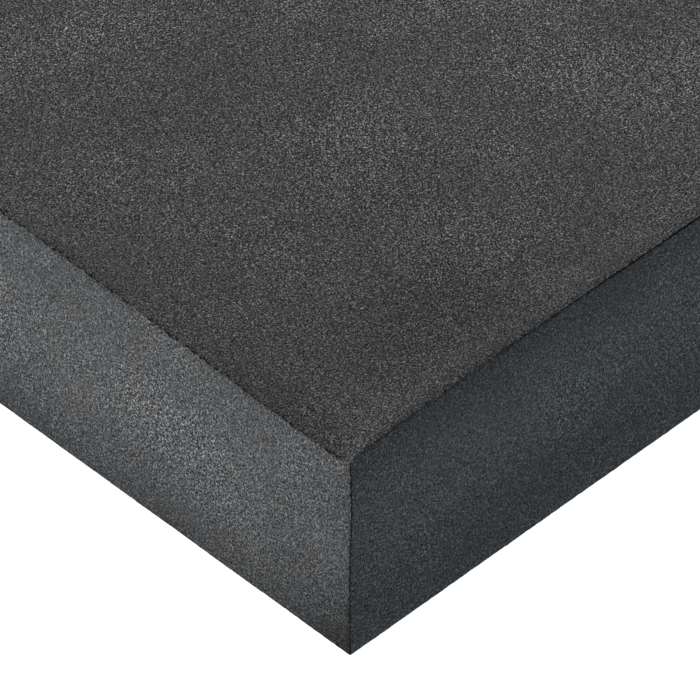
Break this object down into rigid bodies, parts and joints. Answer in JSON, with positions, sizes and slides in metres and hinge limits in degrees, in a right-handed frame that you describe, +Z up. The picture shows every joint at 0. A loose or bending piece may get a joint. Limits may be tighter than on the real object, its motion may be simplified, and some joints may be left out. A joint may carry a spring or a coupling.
{
  "type": "balance pad",
  "caption": "Rectangular dark grey foam pad to stand on for balance training: a soft closed-cell foam core faced with mitred foam sheets, black adhesive at its edges.",
  "frame": {"origin": "on the floor, under the middle of the pad", "axes": "+Z up, +X along the pad's length, +Y across it towards the back side"},
  "size_m": [0.5, 0.41, 0.06],
  "materials": {
    "core_foam": "soft matt closed-cell foam",
    "face_foam": "matt dark grey foam with a fine open-looking grain of cells",
    "side_foam": "matt dark blue-grey foam with a fine grain of cells",
    "edge_adhesive": "dull black flexible adhesive"
  },
  "bodies": {
    "root": {"foam_core": "core_foam", "top_sheet": "face_foam", "bottom_sheet": "face_foam", "front_sheet": "side_foam", "right_sheet": "side_foam", "back_sheet": "side_foam", "left_sheet": "side_foam", "top_rim_bead": "edge_adhesive", "bottom_rim_bead": "edge_adhesive", "front_right_corner_bead": "edge_adhesive", "front_left_corner_bead": "edge_adhesive", "back_right_corner_bead": "edge_adhesive", "back_left_corner_bead": "edge_adhesive"}
  },
  "joints": []
}
